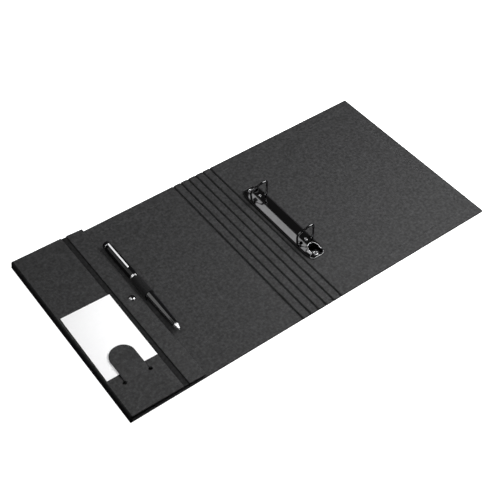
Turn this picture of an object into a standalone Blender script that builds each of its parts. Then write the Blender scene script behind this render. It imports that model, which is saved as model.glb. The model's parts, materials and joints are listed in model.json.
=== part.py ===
"""A5 two-ring binder, lying open on its outer face.

Frame: X across the open covers (front cover at -X, back cover at +X), Y along the spine, Z up.
The origin is the middle of the open binder's outer face. Sizes are in metres.

The case is a row of paper-wrapped boards. Each is modelled flat in the frame of its own pivot, outer paper
at z = 0, and the pivots then fold the fore-edge strip, the pocket flap and its tab back over the front cover.
"""

import math

import bmesh
import bpy
from mathutils import Matrix, Vector

# --- driving dimensions -------------------------------------------------------------------------------
HEIGHT = 0.231  # along the spine
COVER_WIDTH = 0.1995  # fore edge to the nearest spine crease
CREASE_PITCH = 0.0098
SPINE_STRIPS = 5
PAPER = 0.00025  # covering paper
LAYER_GAP = 0.0001  # left between glued layers
TURN_IN = 0.0135  # paper folded over the board's inner face
COVER_BOARD = 0.0015
FLAP_BOARD = 0.0008
LINER_INSET = 0.0018  # liner edge to cover edge
CREASE_HALF = 0.0009  # board edge to crease line
AXIS_CLEAR = 0.00036  # sheet edge to crease line

# pocket flap, folded in from the front cover's fore edge
FORE_EDGE_DEPTH = 0.0094  # between the two fold lines
FORE_EDGE_GAP = 0.0022  # board edge to fold line
COVER_FORE_GAP = 0.0031
FLAP_WIDTH = 0.0577  # upper fold line to the far edge of the flap's board
CHANNEL = 0.0062  # soft channel between flap and tab
TAB_WIDTH = 0.0187
LOWER_FOLD = math.radians(100)
UPPER_FOLD = math.radians(81.35)
TAB_SET = math.radians(2.4)

# card holder cut in the flap; distances are from the upper fold line, and along the spine from the middle
TONGUE_MIDDLE = 0.0295
TONGUE_HALF = 0.0141
TONGUE_ROOT_Y = -0.0803
TONGUE_TIP_Y = -0.0405
TONGUE_ROOT_GAP = 0.00045  # lets the root turn without meeting the flap
SLIT = 0.0004
SLIT_HOLE_R = 0.0015
CARD_SIZE = (0.055, 0.090, 0.00035)
CARD_EDGE = 0.0034
CARD_NEAR_Y = -0.0699

# press stud on the tab
SNAP_REACH = 0.0141  # from the tab's fold line
SNAP_Y = 0.003

# pen and its elastic loop
PEN_X = -0.1314
PEN_TIP_Y = -0.0592
PEN_BARREL_R = 0.0047
LOOP_THICK = 0.0006
LOOP_WIDTH = 0.026
LOOP_MIDDLE_Y = 0.0085

# ring mechanism
RINGS_X = 0.0392
RING_SPACING = 0.080
RIVET_SPACING = 0.114
HOUSING_LENGTH = 0.124
HOUSING_HALF = 0.011
HOUSING_END_HALF = 0.0046
HOUSING_RISE = 0.0074
HOUSING_SHEET = 0.0008
RING_WIRE_R = 0.0012
RING_TOP = 0.0276  # wire centre above the table
CARRIER_PIVOT = (0.0090, 0.0041)  # across from the middle, and up from the table
CARRIER_REST = math.radians(6)
CARRIER_HALF_LENGTH = 0.0445

COVER_SHELL = 2 * PAPER + COVER_BOARD + 2 * LAYER_GAP
COVER_TOP = COVER_SHELL + LAYER_GAP + PAPER
FLAP_SHELL = 2 * PAPER + FLAP_BOARD + 2 * LAYER_GAP
FLAP_THICK = FLAP_SHELL + LAYER_GAP + PAPER
SEAT = COVER_TOP + LAYER_GAP  # underside of what is fixed to a cover's inner face
HALF_SPINE = SPINE_STRIPS * CREASE_PITCH / 2
PAST = 0.003  # how far cutters run past what they cut
ROUND_STEPS = 32


# --- scene, materials and basic shapes ----------------------------------------------------------------
def clear_scene():
    for obj in list(bpy.data.objects):
        bpy.data.objects.remove(obj)


def new_collection(name):
    made = bpy.data.collections.new(name)
    bpy.context.scene.collection.children.link(made)
    return made


def new_material(name, colour, roughness, metallic=0.0):
    made = bpy.data.materials.new(name)
    made.use_nodes = True
    shader = made.node_tree.nodes["Principled BSDF"]
    shader.inputs["Base Color"].default_value = (*colour, 1.0)
    shader.inputs["Roughness"].default_value = roughness
    shader.inputs["Metallic"].default_value = metallic
    return made


clear_scene()
BINDER = new_collection("ring_binder")
CUTTERS = new_collection("cutters")
BLACK_PAPER = new_material("black_paper", (0.045, 0.045, 0.047), 0.8)
GREYBOARD = new_material("greyboard", (0.20, 0.19, 0.18), 0.9)
BLACK_METAL = new_material("black_metal", (0.012, 0.012, 0.013), 0.25, 0.6)
STEEL = new_material("bright_steel", (0.55, 0.55, 0.56), 0.3, 1.0)
CHROME = new_material("chrome", (0.8, 0.8, 0.8), 0.08, 1.0)
GLOSS_BLACK = new_material("gloss_black", (0.01, 0.01, 0.011), 0.12)
ELASTIC = new_material("black_elastic", (0.012, 0.012, 0.012), 0.95)
WHITE_CARD = new_material("white_card", (0.85, 0.85, 0.85), 0.6)


def add_object(name, mesh, parent=None, material=None, cutter=False):
    obj = bpy.data.objects.new(name, mesh)
    (CUTTERS if cutter else BINDER).objects.link(obj)
    obj.parent = parent
    if material:
        mesh.materials.append(material)
    if cutter:
        obj.hide_render = True
        obj.display_type = "WIRE"
    return obj


def add_pivot(name, location, parent=None, turn_y=0.0):
    pivot = bpy.data.objects.new(name, None)
    BINDER.objects.link(pivot)
    pivot.parent = parent
    pivot.location = location
    pivot.rotation_euler.y = turn_y
    return pivot


def mesh_from(build):
    made = bmesh.new()
    build(made)
    mesh = bpy.data.meshes.new("mesh")
    made.to_mesh(mesh)
    made.free()
    return mesh


def add_box(name, low, high, parent=None, material=None, cutter=False, round_edges=0.0):
    size = [h - l for l, h in zip(low, high)]
    mesh = mesh_from(lambda made: bmesh.ops.create_cube(made, size=1, matrix=Matrix.Diagonal((*size, 1))))
    obj = add_object(name, mesh, parent, material, cutter)
    obj.location = [(l + h) / 2 for l, h in zip(low, high)]
    if round_edges:
        bevel = obj.modifiers.new("rounded_edges", "BEVEL")
        bevel.width = round_edges
        bevel.segments = 2
    return obj


def add_cylinder(name, radius, low_z, high_z, at, parent=None, material=None, cutter=False):
    mesh = mesh_from(
        lambda made: bmesh.ops.create_cone(
            made, cap_ends=True, segments=ROUND_STEPS, radius1=radius, radius2=radius, depth=high_z - low_z
        )
    )
    obj = add_object(name, mesh, parent, material, cutter)
    obj.location = (at[0], at[1], (low_z + high_z) / 2)
    return obj


def add_turned(name, profile, parent, material, steps=ROUND_STEPS, closed=False):
    """A shape turned about its Z axis; the profile lists (radius, z) down the outer side."""
    count = len(profile)
    ends = [(i, (i + 1) % count) for i in range(count if closed else count - 1)]
    mesh = bpy.data.meshes.new(name)
    mesh.from_pydata([(r, 0, z) for r, z in profile], ends, [])
    obj = add_object(name, mesh, parent, material)
    screw = obj.modifiers.new("turned", "SCREW")
    screw.steps = screw.render_steps = steps
    screw.use_merge_vertices = True
    screw.merge_threshold = 0.00001
    screw.use_smooth_shade = True
    return obj


def add_prism(name, outline, low_z, high_z, parent=None, material=None, cutter=False):
    """An upright prism on an outline of (x, y) points that runs anticlockwise."""

    def build(made):
        face = made.faces.new([made.verts.new((x, y, low_z)) for x, y in outline])
        raised = bmesh.ops.extrude_face_region(made, geom=[face])["geom"]
        top = [v for v in raised if isinstance(v, bmesh.types.BMVert)]
        bmesh.ops.translate(made, verts=top, vec=(0, 0, high_z - low_z))
        bmesh.ops.recalc_face_normals(made, faces=made.faces)

    return add_object(name, mesh_from(build), parent, material, cutter)


def combine(obj, other, operation):
    step = obj.modifiers.new(f"{operation.lower()}_{other.name}", "BOOLEAN")
    step.operation = operation
    step.object = other


def cut(obj, *cutters):
    for cutter in cutters:
        combine(obj, cutter, "DIFFERENCE")


# --- wrapped boards ------------------------------------------------------------------------------------
def add_panel(name, pivot, low, high, gaps, ends=("fold", "fold"), board=COVER_BOARD):
    """Paper, board and liner of one panel between two fold lines, flat in its pivot's frame.

    low and high are the X of the fold lines, or of the free edge, and gaps the board's distance from each.
    An end is "fold" (the outer paper runs on to the fold line), "free" (wrapped) or "channel" (the liner runs on).
    """
    shell = 2 * PAPER + board + 2 * LAYER_GAP
    half = HEIGHT / 2
    board_x = (low + gaps[0], high - gaps[1])
    edge = {"fold": AXIS_CLEAR, "free": 0.0}
    sheet_x = (
        low + edge[ends[0]] if ends[0] in edge else board_x[0],
        high - edge[ends[1]] if ends[1] in edge else board_x[1],
    )
    paper = add_box(
        f"{name}_paper",
        (sheet_x[0], -half, 0),
        (sheet_x[1], half, shell),
        pivot,
        BLACK_PAPER,
    )
    inner_y = half - PAPER
    open_x = [
        sheet_x[0] + PAPER if ends[0] == "free" else sheet_x[0] - PAST,
        sheet_x[1] - PAPER if ends[1] == "free" else sheet_x[1] + PAST,
    ]
    window_x = [
        sheet_x[0] + TURN_IN if ends[0] == "free" else sheet_x[0] - PAST,
        sheet_x[1] - TURN_IN if ends[1] == "free" else sheet_x[1] + PAST,
    ]
    window_y = half - TURN_IN
    cut(
        paper,
        add_box(
            f"{name}_board_space",
            (open_x[0], -inner_y, PAPER),
            (open_x[1], inner_y, shell - PAPER),
            pivot,
            cutter=True,
        ),
        add_box(
            f"{name}_turn_in_window",
            (window_x[0], -window_y, shell / 2),
            (window_x[1], window_y, shell + PAST),
            pivot,
            cutter=True,
        ),
    )
    for side, end in enumerate(ends):
        if end != "fold":
            continue
        reach = (sheet_x[0] - PAST, board_x[0]) if side == 0 else (board_x[1], sheet_x[1] + PAST)
        crease = add_box(
            f"{name}_crease_{side}",
            (reach[0], -half - PAST, PAPER),
            (reach[1], half + PAST, shell + PAST),
            pivot,
            cutter=True,
        )
        cut(paper, crease)
    core_y = inner_y - LAYER_GAP
    core_low = PAPER + LAYER_GAP
    wrap = [PAPER + LAYER_GAP if end == "free" else 0.0 for end in ends]
    core = add_box(
        f"{name}_board",
        (board_x[0] + wrap[0], -core_y, core_low),
        (board_x[1] - wrap[1], core_y, core_low + board),
        pivot,
        GREYBOARD,
    )
    liner_x = [
        low + AXIS_CLEAR if ends[0] == "channel" else board_x[0] + (LINER_INSET if ends[0] == "free" else 0),
        high - AXIS_CLEAR if ends[1] == "channel" else board_x[1] - (LINER_INSET if ends[1] == "free" else 0),
    ]
    liner_low = shell + LAYER_GAP
    liner = add_box(
        f"{name}_liner",
        (liner_x[0], LINER_INSET - half, liner_low),
        (liner_x[1], half - LINER_INSET, liner_low + PAPER),
        pivot,
        BLACK_PAPER,
    )
    return paper, core, liner


def add_case():
    """Back cover, spine strips and front cover, each in the frame of the crease that it folds about."""
    back = add_pivot("back_cover_frame", (0, 0, 0))
    panels = {
        "back_cover": add_panel(
            "back_cover", back, HALF_SPINE, HALF_SPINE + COVER_WIDTH, (CREASE_HALF, 0), ("fold", "free")
        )
    }
    pivot = add_pivot("spine_fold_1", (HALF_SPINE, 0, 0), back)
    for strip in range(1, SPINE_STRIPS + 1):
        name = f"spine_{strip}"
        panels[name] = add_panel(name, pivot, -CREASE_PITCH, 0, (CREASE_HALF, CREASE_HALF))
        pivot = add_pivot(f"spine_fold_{strip + 1}", (-CREASE_PITCH, 0, 0), pivot)
    panels["front_cover"] = add_panel("front_cover", pivot, -COVER_WIDTH, 0, (COVER_FORE_GAP, CREASE_HALF))
    return back, pivot, panels


def add_flap(front_pivot):
    """Fore-edge strip, pocket flap and tab, folded back over the front cover."""
    lower = add_pivot("lower_fold", (-COVER_WIDTH, 0, 0), front_pivot, LOWER_FOLD)
    panels = {
        "fore_edge": add_panel(
            "fore_edge", lower, -FORE_EDGE_DEPTH, 0, (FORE_EDGE_GAP, FORE_EDGE_GAP), board=FLAP_BOARD
        )
    }
    upper = add_pivot("upper_fold", (-FORE_EDGE_DEPTH, 0, 0), lower, UPPER_FOLD)
    tab_line = -(FLAP_WIDTH + CHANNEL / 2)
    panels["flap"] = add_panel(
        "flap", upper, tab_line, 0, (CHANNEL / 2, FORE_EDGE_GAP), ("channel", "fold"), FLAP_BOARD
    )
    tab = add_pivot("tab_fold", (tab_line, 0, FLAP_THICK - PAPER / 2), upper, TAB_SET)
    flat = add_pivot("tab_frame", (0, 0, PAPER / 2 - FLAP_THICK), tab)
    panels["tab"] = add_panel(
        "tab", flat, -(CHANNEL / 2 + TAB_WIDTH), 0, (0, CHANNEL / 2), ("free", "channel"), FLAP_BOARD
    )
    return upper, flat, panels


# --- card holder ---------------------------------------------------------------------------------------
def tongue_outline(half_width):
    """Straight sides from the root and a half-round tip, as (x, y) points in the flap's frame."""
    tip_centre_y = TONGUE_TIP_Y - TONGUE_HALF
    arc = [math.pi * step / ROUND_STEPS for step in range(ROUND_STEPS + 1)]
    points = [(-TONGUE_MIDDLE - half_width, TONGUE_ROOT_Y), (-TONGUE_MIDDLE + half_width, TONGUE_ROOT_Y)]
    for angle in arc:
        points.append((-TONGUE_MIDDLE + half_width * math.cos(angle), tip_centre_y + half_width * math.sin(angle)))
    return points


def tongue_lift(y):
    """How far the tongue bends out of the flap to pass over the card."""
    over_card = FLAP_SHELL + 2 * LAYER_GAP + CARD_SIZE[2]
    run = (y - TONGUE_ROOT_Y) / (CARD_NEAR_Y - 0.0008 - TONGUE_ROOT_Y)
    share = min(1.0, max(0.0, run))
    return over_card * share * share * (3 - 2 * share)


def add_card_holder(upper, flap_panel):
    opening = add_prism(
        "tongue_opening", tongue_outline(TONGUE_HALF), -PAST, FLAP_THICK + PAST, upper, cutter=True
    )
    holes = [
        add_cylinder(
            f"slit_hole_{side}",
            SLIT_HOLE_R,
            -PAST,
            FLAP_THICK + PAST,
            (-TONGUE_MIDDLE + side * TONGUE_HALF, TONGUE_ROOT_Y),
            upper,
            cutter=True,
        )
        for side in (-1, 1)
    ]
    for layer in flap_panel:
        cut(layer, opening, *holes)

    half_width = TONGUE_HALF - SLIT
    tip_centre_y = TONGUE_TIP_Y - TONGUE_HALF
    root_y = TONGUE_ROOT_Y + TONGUE_ROOT_GAP
    bend_steps = 10
    bend_end = CARD_NEAR_Y - 0.0008
    rows = [(root_y + (bend_end - root_y) * step / bend_steps, half_width) for step in range(bend_steps + 1)]
    arc_steps = 16
    for step in range(arc_steps):
        angle = math.pi / 2 * step / arc_steps
        rows.append((tip_centre_y + half_width * math.sin(angle), half_width * math.cos(angle)))
    verts = [(-TONGUE_MIDDLE + side * half, y, -tongue_lift(y)) for y, half in rows for side in (-1, 1)]
    faces = [(2 * i, 2 * i + 1, 2 * i + 3, 2 * i + 2) for i in range(len(rows) - 1)]
    mesh = bpy.data.meshes.new("card_tongue")
    mesh.from_pydata(verts, [], faces)
    tongue = add_object("card_tongue", mesh, upper, BLACK_PAPER)
    solid = tongue.modifiers.new("card_thickness", "SOLIDIFY")
    solid.thickness = FLAP_SHELL
    solid.offset = 1
    cut(tongue, *holes)

    card_x = -CARD_EDGE
    add_box(
        "business_card",
        (card_x - CARD_SIZE[0], CARD_NEAR_Y, -LAYER_GAP - CARD_SIZE[2]),
        (card_x, CARD_NEAR_Y + CARD_SIZE[1], -LAYER_GAP),
        upper,
        WHITE_CARD,
    )


# --- press stud ----------------------------------------------------------------------------------------
def add_press_stud(tab_frame, tab_panel, front_panel):
    """Cap and socket clenched through the tab, and the post riveted through the front cover."""
    at = (-SNAP_REACH, SNAP_Y)
    hole = add_cylinder("snap_cap_hole", 0.0016, -PAST, FLAP_THICK + PAST, at, tab_frame, cutter=True)
    cut(tab_panel[0], hole)
    cut(tab_panel[1], hole)
    cut(tab_panel[2], hole)

    top = LAYER_GAP  # the cap stands on the outer paper, towards -Z of the tab's flat frame
    cap_dome = [(0.0038 * math.cos(a), -top - 0.0021 * math.sin(a)) for a in
                [math.pi / 2 * i / 10 for i in range(9, 0, -1)]]
    shank_end = FLAP_THICK + 0.0002
    cap = add_turned(
        "snap_cap",
        [(0, shank_end), (0.0013, shank_end), (0.0013, -top), (0.0038, -top), *reversed(cap_dome), (0, -top - 0.0021)],
        tab_frame,
        BLACK_METAL,
    )
    cap.location = (*at, 0)

    under = FLAP_THICK + LAYER_GAP
    socket = add_turned(
        "snap_socket",
        [
            (0.0042, under + 0.0016),
            (0.0042, under + 0.0003),
            (0.0038, under),
            (0.0016, under),
            (0.0016, under + 0.0007),
            (0.0024, under + 0.0007),
            (0.0024, under + 0.0016),
        ],
        tab_frame,
        BLACK_METAL,
        closed=True,
    )
    socket.location = (*at, 0)

    bpy.context.view_layer.update()
    spot = tab_frame.matrix_world @ Vector((*at, 0))
    world_at = (spot.x, spot.y)
    post_hole = add_cylinder("snap_post_hole", 0.0013, -PAST, COVER_TOP + PAST, world_at, cutter=True)
    head_seat = add_cylinder("snap_post_head_seat", 0.0043, -PAST, 0.0007, world_at, cutter=True)
    cut(front_panel[0], head_seat, post_hole)
    cut(front_panel[1], head_seat, post_hole)
    cut(front_panel[2], post_hole)
    ball_z = SEAT + 0.0010
    ball = [(0.0016 * math.cos(a), ball_z + 0.0007 * math.sin(a)) for a in
            [math.radians(90 - 15 * i) for i in range(1, 10)]]
    post = add_turned(
        "snap_post",
        [
            (0, ball_z + 0.0007),
            *ball,
            (0.0010, SEAT + 0.0004),
            (0.0036, SEAT + 0.0004),
            (0.0040, SEAT),
            (0.0010, SEAT),
            (0.0010, 0.0005),
            (0.0040, 0.0005),
            (0.0040, 0.00005),
            (0, 0.00005),
        ],
        None,
        BLACK_METAL,
    )
    post.location = (*world_at, 0)


# --- pen and loop --------------------------------------------------------------------------------------
def add_pen():
    loop_inner = PEN_BARREL_R + 0.0002
    loop_outer = loop_inner + LOOP_THICK
    axis_z = SEAT + LOOP_THICK + loop_inner
    centre = add_pivot("pen_loop_frame", (PEN_X, LOOP_MIDDLE_Y, axis_z))
    centre.rotation_euler.x = math.radians(-90)
    half = LOOP_WIDTH / 2
    loop = add_cylinder("pen_loop", loop_outer, -half, half, (0, 0), centre, ELASTIC)
    foot = add_box(
        "pen_loop_foot",
        (-0.0046, -half, SEAT - axis_z),
        (0.0046, half, SEAT - axis_z + 0.0022),
        None,
        cutter=True,
    )
    foot.location = (PEN_X, LOOP_MIDDLE_Y, SEAT + 0.0011)
    combine(loop, foot, "UNION")
    bore = add_cylinder("pen_loop_bore", loop_inner, -half - PAST, half + PAST, (0, 0), centre, cutter=True)
    cut(loop, bore)

    axis = add_pivot("pen_axis", (PEN_X, PEN_TIP_Y, axis_z))
    axis.rotation_euler.x = math.radians(-90)
    add_turned(
        "pen_refill",
        [(0, 0.100), (0.0011, 0.100), (0.0011, 0.0075), (0.0007, 0.0040), (0.0005, 0.0006), (0.0002, 0), (0, 0)],
        axis,
        STEEL,
        16,
    )
    add_turned(
        "pen_tip",
        [(0.0032, 0.0076), (0.0031, 0.0060), (0.0011, 0.0016), (0.0009, 0.0016), (0.0015, 0.0076)],
        axis,
        CHROME,
        closed=True,
    )
    add_turned(
        "pen_lower_barrel",
        [
            (0.0045, 0.0809),
            (PEN_BARREL_R, 0.0800),
            (PEN_BARREL_R, 0.0560),
            (0.0044, 0.0380),
            (0.0033, 0.0080),
            (0.0018, 0.0080),
            (0.0018, 0.0809),
        ],
        axis,
        GLOSS_BLACK,
        closed=True,
    )
    add_turned(
        "pen_centre_ring",
        [(0.0047, 0.0840), (0.0050, 0.0836), (0.0050, 0.0816), (0.0047, 0.0812), (0.0018, 0.0812), (0.0018, 0.0840)],
        axis,
        CHROME,
        closed=True,
    )
    add_turned(
        "pen_upper_barrel",
        [(0.0046, 0.1335), (0.0048, 0.1300), (0.0048, 0.0880), (0.0046, 0.0843), (0.0018, 0.0843), (0.0018, 0.1335)],
        axis,
        GLOSS_BLACK,
        closed=True,
    )
    add_turned(
        "pen_end_cap",
        [(0, 0.1397), (0.0030, 0.1397), (0.0040, 0.1391), (0.0044, 0.1378), (0.0046, 0.1349), (0, 0.1349)],
        axis,
        GLOSS_BLACK,
    )
    clip = add_turned(
        "pen_clip",
        [(0.0048, 0.1346), (0.0048, 0.1338), (0.0012, 0.1338), (0.0012, 0.1346)],
        axis,
        CHROME,
        closed=True,
    )
    arm = add_box("pen_clip_arm", (-0.0011, -0.0068, 0.0925), (0.0011, -0.0059, 0.1345), axis, cutter=True)
    root = add_box("pen_clip_root", (-0.0010, -0.0066, 0.13385), (0.0010, -0.0030, 0.13455), axis, cutter=True)
    foot_ball = add_box("pen_clip_foot", (-0.0009, -0.0062, 0.0928), (0.0009, -0.0051, 0.0947), axis, cutter=True)
    for piece in (root, arm, foot_ball):
        combine(clip, piece, "UNION")


# --- ring mechanism ------------------------------------------------------------------------------------
def housing_half_width(along):
    past = max(0.0, abs(along) - 0.048) / (HOUSING_LENGTH / 2 - 0.048)
    return HOUSING_END_HALF + (HOUSING_HALF - HOUSING_END_HALF) * math.sqrt(max(0.0, 1 - past * past))


def housing_rise(along):
    past = max(0.0, abs(along) - 0.046) / (HOUSING_LENGTH / 2 - 0.046)
    return 0.0058 + (HOUSING_RISE - 0.0058) * math.cos(past * math.pi / 2)


def housing_section(y):
    """The arched sheet with its two inturned lips, cut across at y, as a closed ring of points."""
    half, rise = housing_half_width(y), housing_rise(y)
    lip = 0.0013
    angles = [math.pi * i / 20 for i in range(21)]
    outer = [(half - lip, 0.0)]
    outer += [(half * math.cos(a), rise * math.sin(a)) for a in angles]
    outer.append((lip - half, 0.0))
    inner_half, inner_rise = half - HOUSING_SHEET, rise - HOUSING_SHEET
    inner = [(half - lip, HOUSING_SHEET)]
    inner += [
        (inner_half * math.cos(a), max(HOUSING_SHEET * (1 + 0.01 * math.sin(a)), inner_rise * math.sin(a)))
        for a in angles
    ]
    inner.append((lip - half, HOUSING_SHEET))
    return [(x, y, z) for x, z in outer + inner[::-1]]


def add_housing(frame):
    """Arched spring housing, open at both ends over the rivets, lofted through its cross-sections."""
    end_steps = 7
    straight = 0.046
    half_length = HOUSING_LENGTH / 2
    bend = half_length - straight
    ends = [straight + bend * math.sin(math.pi / 2 * step / end_steps) for step in range(end_steps + 1)]

    def build(made):
        rings = []
        for y in [-y for y in reversed(ends)] + ends:
            rings.append([made.verts.new(point) for point in housing_section(y)])
        count = len(rings[0])
        for a, b in zip(rings, rings[1:]):
            for i in range(count):
                j = (i + 1) % count
                made.faces.new((a[i], a[j], b[j], b[i]))
        made.faces.new(rings[0])
        made.faces.new(rings[-1])
        bmesh.ops.recalc_face_normals(made, faces=made.faces)

    housing = add_object("ring_housing", mesh_from(build), frame, BLACK_METAL)

    notch_r = 0.0061
    notch_deep = 0.0527  # centre of the notch's round end
    for side in (-1, 1):
        arc = [side * math.pi * (i / 16 - 1) for i in range(17)]
        outline = [(notch_r * math.cos(a), side * notch_deep + notch_r * math.sin(a)) for a in arc]
        flare = [(notch_r, 0.0572), (0.0125, 0.0592), (0.0125, 0.070)]
        outline += [(x, side * y) for x, y in flare]
        outline += [(-x, side * y) for x, y in reversed(flare)]
        cut(housing, add_prism(f"end_notch_{side}", outline, 0.0013, 0.012, frame, cutter=True))
        seat_y = [0.0465 + (half_length - 0.0003 - 0.0465) * i / 6 for i in range(7)]
        inset = 0.0006
        right = [(housing_half_width(y) - inset, side * y) for y in seat_y]
        left = [(-x, y) for x, y in reversed(right)]
        outline = (right + left)[::side]
        seat = add_prism(f"rivet_seat_{side}", outline, 0.0001, 0.0007, frame, cutter=True)
        combine(housing, seat, "UNION")
        cut(
            housing,
            add_cylinder(
                f"rivet_hole_{side}", 0.0020, -PAST, PAST, (0, side * RIVET_SPACING / 2), frame, cutter=True
            ),
        )
        ring_y = side * RING_SPACING / 2
        for flank in (-1, 1):
            across = sorted((flank * 0.0048, flank * 0.0125))
            cut(
                housing,
                add_box(
                    f"ring_slot_{side}_{flank}",
                    (across[0], ring_y - 0.0017, 0.0031),
                    (across[1], ring_y + 0.0017, 0.0090),
                    frame,
                    cutter=True,
                ),
            )
        cut(housing, add_cylinder(f"eyelet_hole_{side}", 0.0011, 0.004, 0.010, (0, ring_y), frame, cutter=True))
    return housing


def rounded_path(corners, steps=7):
    """Points along straight runs whose corners, given as (across, up, radius), are rounded."""
    points = [Vector(corners[0][:2])]
    for before, corner, after in zip(corners, corners[1:], corners[2:]):
        here = Vector(corner[:2])
        back = (Vector(before[:2]) - here).normalized()
        on = (Vector(after[:2]) - here).normalized()
        half_angle = back.angle(on) / 2
        reach = corner[2] / math.tan(half_angle)
        centre = here + (back + on).normalized() * corner[2] / math.sin(half_angle)
        start = here + back * reach - centre
        end = here + on * reach - centre
        sweep = start.angle_signed(end)
        for step in range(steps + 1):
            points.append(centre + Matrix.Rotation(-sweep * step / steps, 2) @ start)
    points.append(Vector(corners[-1][:2]))
    return points


def add_wire(name, points, y, parent):
    curve = bpy.data.curves.new(name, "CURVE")
    curve.dimensions = "3D"
    curve.bevel_depth = RING_WIRE_R
    curve.bevel_resolution = 3
    curve.use_fill_caps = True
    spline = curve.splines.new("POLY")
    spline.points.add(len(points) - 1)
    for target, point in zip(spline.points, points):
        target.co = (point.x, y, point.y, 1)
    spline.use_smooth = True
    return add_object(name, curve, parent, BLACK_METAL)


def add_rings(frame):
    """Two hinged carrier plates under the housing, each with its half of both rings."""
    top = RING_TOP - SEAT
    foot = 0.0045 - SEAT
    meet = 0.0031  # where the two halves of a ring meet, right of the middle
    halves = {
        "left": [
            (-0.0064, foot, 0),
            (-0.0064, 0.0061 - SEAT, 0.0014),
            (-0.0113, 0.0089 - SEAT, 0.0026),
            (-0.0122, top - 0.0032, 0.0062),
            (meet - 0.0002, top, 0),
        ],
        "right": [
            (0.0064, foot, 0),
            (0.0064, 0.0060 - SEAT, 0.0013),
            (0.0093, 0.0083 - SEAT, 0.0018),
            (0.0093, top, 0.0030),
            (meet + 0.0001, top, 0),
        ],
    }
    for side, name in ((-1, "left"), (1, "right")):
        pivot = add_pivot(
            f"{name}_carrier_pivot", (side * CARRIER_PIVOT[0], 0, CARRIER_PIVOT[1] - SEAT), frame, side * -CARRIER_REST
        )
        reach = 0.0088
        across = sorted((side * 0.0003, side * -reach))
        add_box(
            f"{name}_carrier",
            (across[0], -CARRIER_HALF_LENGTH, -0.0004),
            (across[1], CARRIER_HALF_LENGTH, 0.0004),
            pivot,
            STEEL,
        )
        for y, place in ((-RING_SPACING / 2, "near"), (RING_SPACING / 2, "far")):
            add_wire(f"{name}_ring_{place}", rounded_path(halves[name]), y, frame)


def add_rivets(frame, back_panel):
    for side, place in ((-1, "near"), (1, "far")):
        at = (RINGS_X, side * RIVET_SPACING / 2)
        shank_hole = add_cylinder(f"rivet_{place}_hole", 0.0020, -PAST, COVER_TOP + PAST, at, cutter=True)
        head_seat = add_cylinder(f"rivet_{place}_head_seat", 0.0043, -PAST, 0.0007, at, cutter=True)
        cut(back_panel[0], head_seat, shank_hole)
        cut(back_panel[1], head_seat, shank_hole)
        cut(back_panel[2], shank_hole)
        seat_top = SEAT + 0.0007 + LAYER_GAP
        rivet = add_turned(
            f"rivet_{place}",
            [
                (0.0010, seat_top + 0.0004),
                (0.0014, seat_top + 0.0008),
                (0.0021, seat_top + 0.0008),
                (0.0027, seat_top + 0.0004),
                (0.0026, seat_top),
                (0.0017, seat_top),
                (0.0017, 0.0005),
                (0.0040, 0.0005),
                (0.0040, 0.00005),
                (0.0010, 0.00005),
            ],
            None,
            BLACK_METAL,
            closed=True,
        )
        rivet.location = (*at, 0)
        crown = HOUSING_RISE
        eyelet = add_turned(
            f"crown_eyelet_{place}",
            [
                (0.0005, crown + 0.0003),
                (0.0010, crown + 0.0006),
                (0.0016, crown + 0.0005),
                (0.0019, crown + 0.0001),
                (0.0009, crown + 0.0001),
                (0.0009, crown - 0.0011),
                (0.0005, crown - 0.0011),
            ],
            frame,
            BLACK_METAL,
            24,
            closed=True,
        )
        eyelet.location.y = side * RING_SPACING / 2


def main():
    _, front_pivot, panels = add_case()
    upper, tab_frame, flap_panels = add_flap(front_pivot)
    add_card_holder(upper, flap_panels["flap"])
    add_press_stud(tab_frame, flap_panels["tab"], panels["front_cover"])
    add_pen()
    mechanism = add_pivot("mechanism_frame", (RINGS_X, 0, SEAT))
    add_housing(mechanism)
    add_rings(mechanism)
    add_rivets(mechanism, panels["back_cover"])


main()
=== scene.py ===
"""Looks of the A5 ring binder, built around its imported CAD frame."""

import json
import math

import bmesh
import bpy
from mathutils import Matrix, Vector


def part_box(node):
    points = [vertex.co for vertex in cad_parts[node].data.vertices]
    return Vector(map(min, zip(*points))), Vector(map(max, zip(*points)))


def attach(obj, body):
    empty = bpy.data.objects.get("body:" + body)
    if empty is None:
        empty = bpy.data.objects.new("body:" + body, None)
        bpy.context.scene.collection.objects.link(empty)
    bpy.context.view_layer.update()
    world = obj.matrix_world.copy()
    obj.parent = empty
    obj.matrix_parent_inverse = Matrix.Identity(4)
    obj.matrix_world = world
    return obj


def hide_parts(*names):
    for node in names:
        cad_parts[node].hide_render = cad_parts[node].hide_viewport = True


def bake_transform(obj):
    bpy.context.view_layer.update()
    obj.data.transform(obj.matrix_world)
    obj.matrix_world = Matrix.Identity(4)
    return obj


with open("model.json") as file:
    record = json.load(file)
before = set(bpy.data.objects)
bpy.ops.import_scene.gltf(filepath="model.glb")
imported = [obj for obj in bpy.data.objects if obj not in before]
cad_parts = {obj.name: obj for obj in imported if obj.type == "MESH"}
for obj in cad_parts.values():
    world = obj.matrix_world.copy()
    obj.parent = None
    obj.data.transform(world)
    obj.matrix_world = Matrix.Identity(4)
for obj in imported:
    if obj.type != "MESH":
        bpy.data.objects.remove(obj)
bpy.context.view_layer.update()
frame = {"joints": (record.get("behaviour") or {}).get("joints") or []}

# --- sizes, in metres -----------------------------------------------------------------------------------
JOINTS = {joint["name"]: joint for joint in frame["joints"]}
CREASE_JOINTS = [f"spine_fold_{i}" for i in range(1, 6)] + ["front_cover_fold"]
CREASES = [JOINTS[name]["pos_m"][0] for name in CREASE_JOINTS]
BACK_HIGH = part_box("back_cover_paper")[1]
HALF_HEIGHT = BACK_HIGH.y
COVER_SHELL = BACK_HIGH.z
COVER_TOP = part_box("back_cover_liner")[1].z
PAPER = 0.00025
CREASE_HALF = 0.0009  # board edge to crease line
GROOVE_HALF = 0.0014  # liner edge to crease line
LINER_INSET = 0.0024
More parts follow.
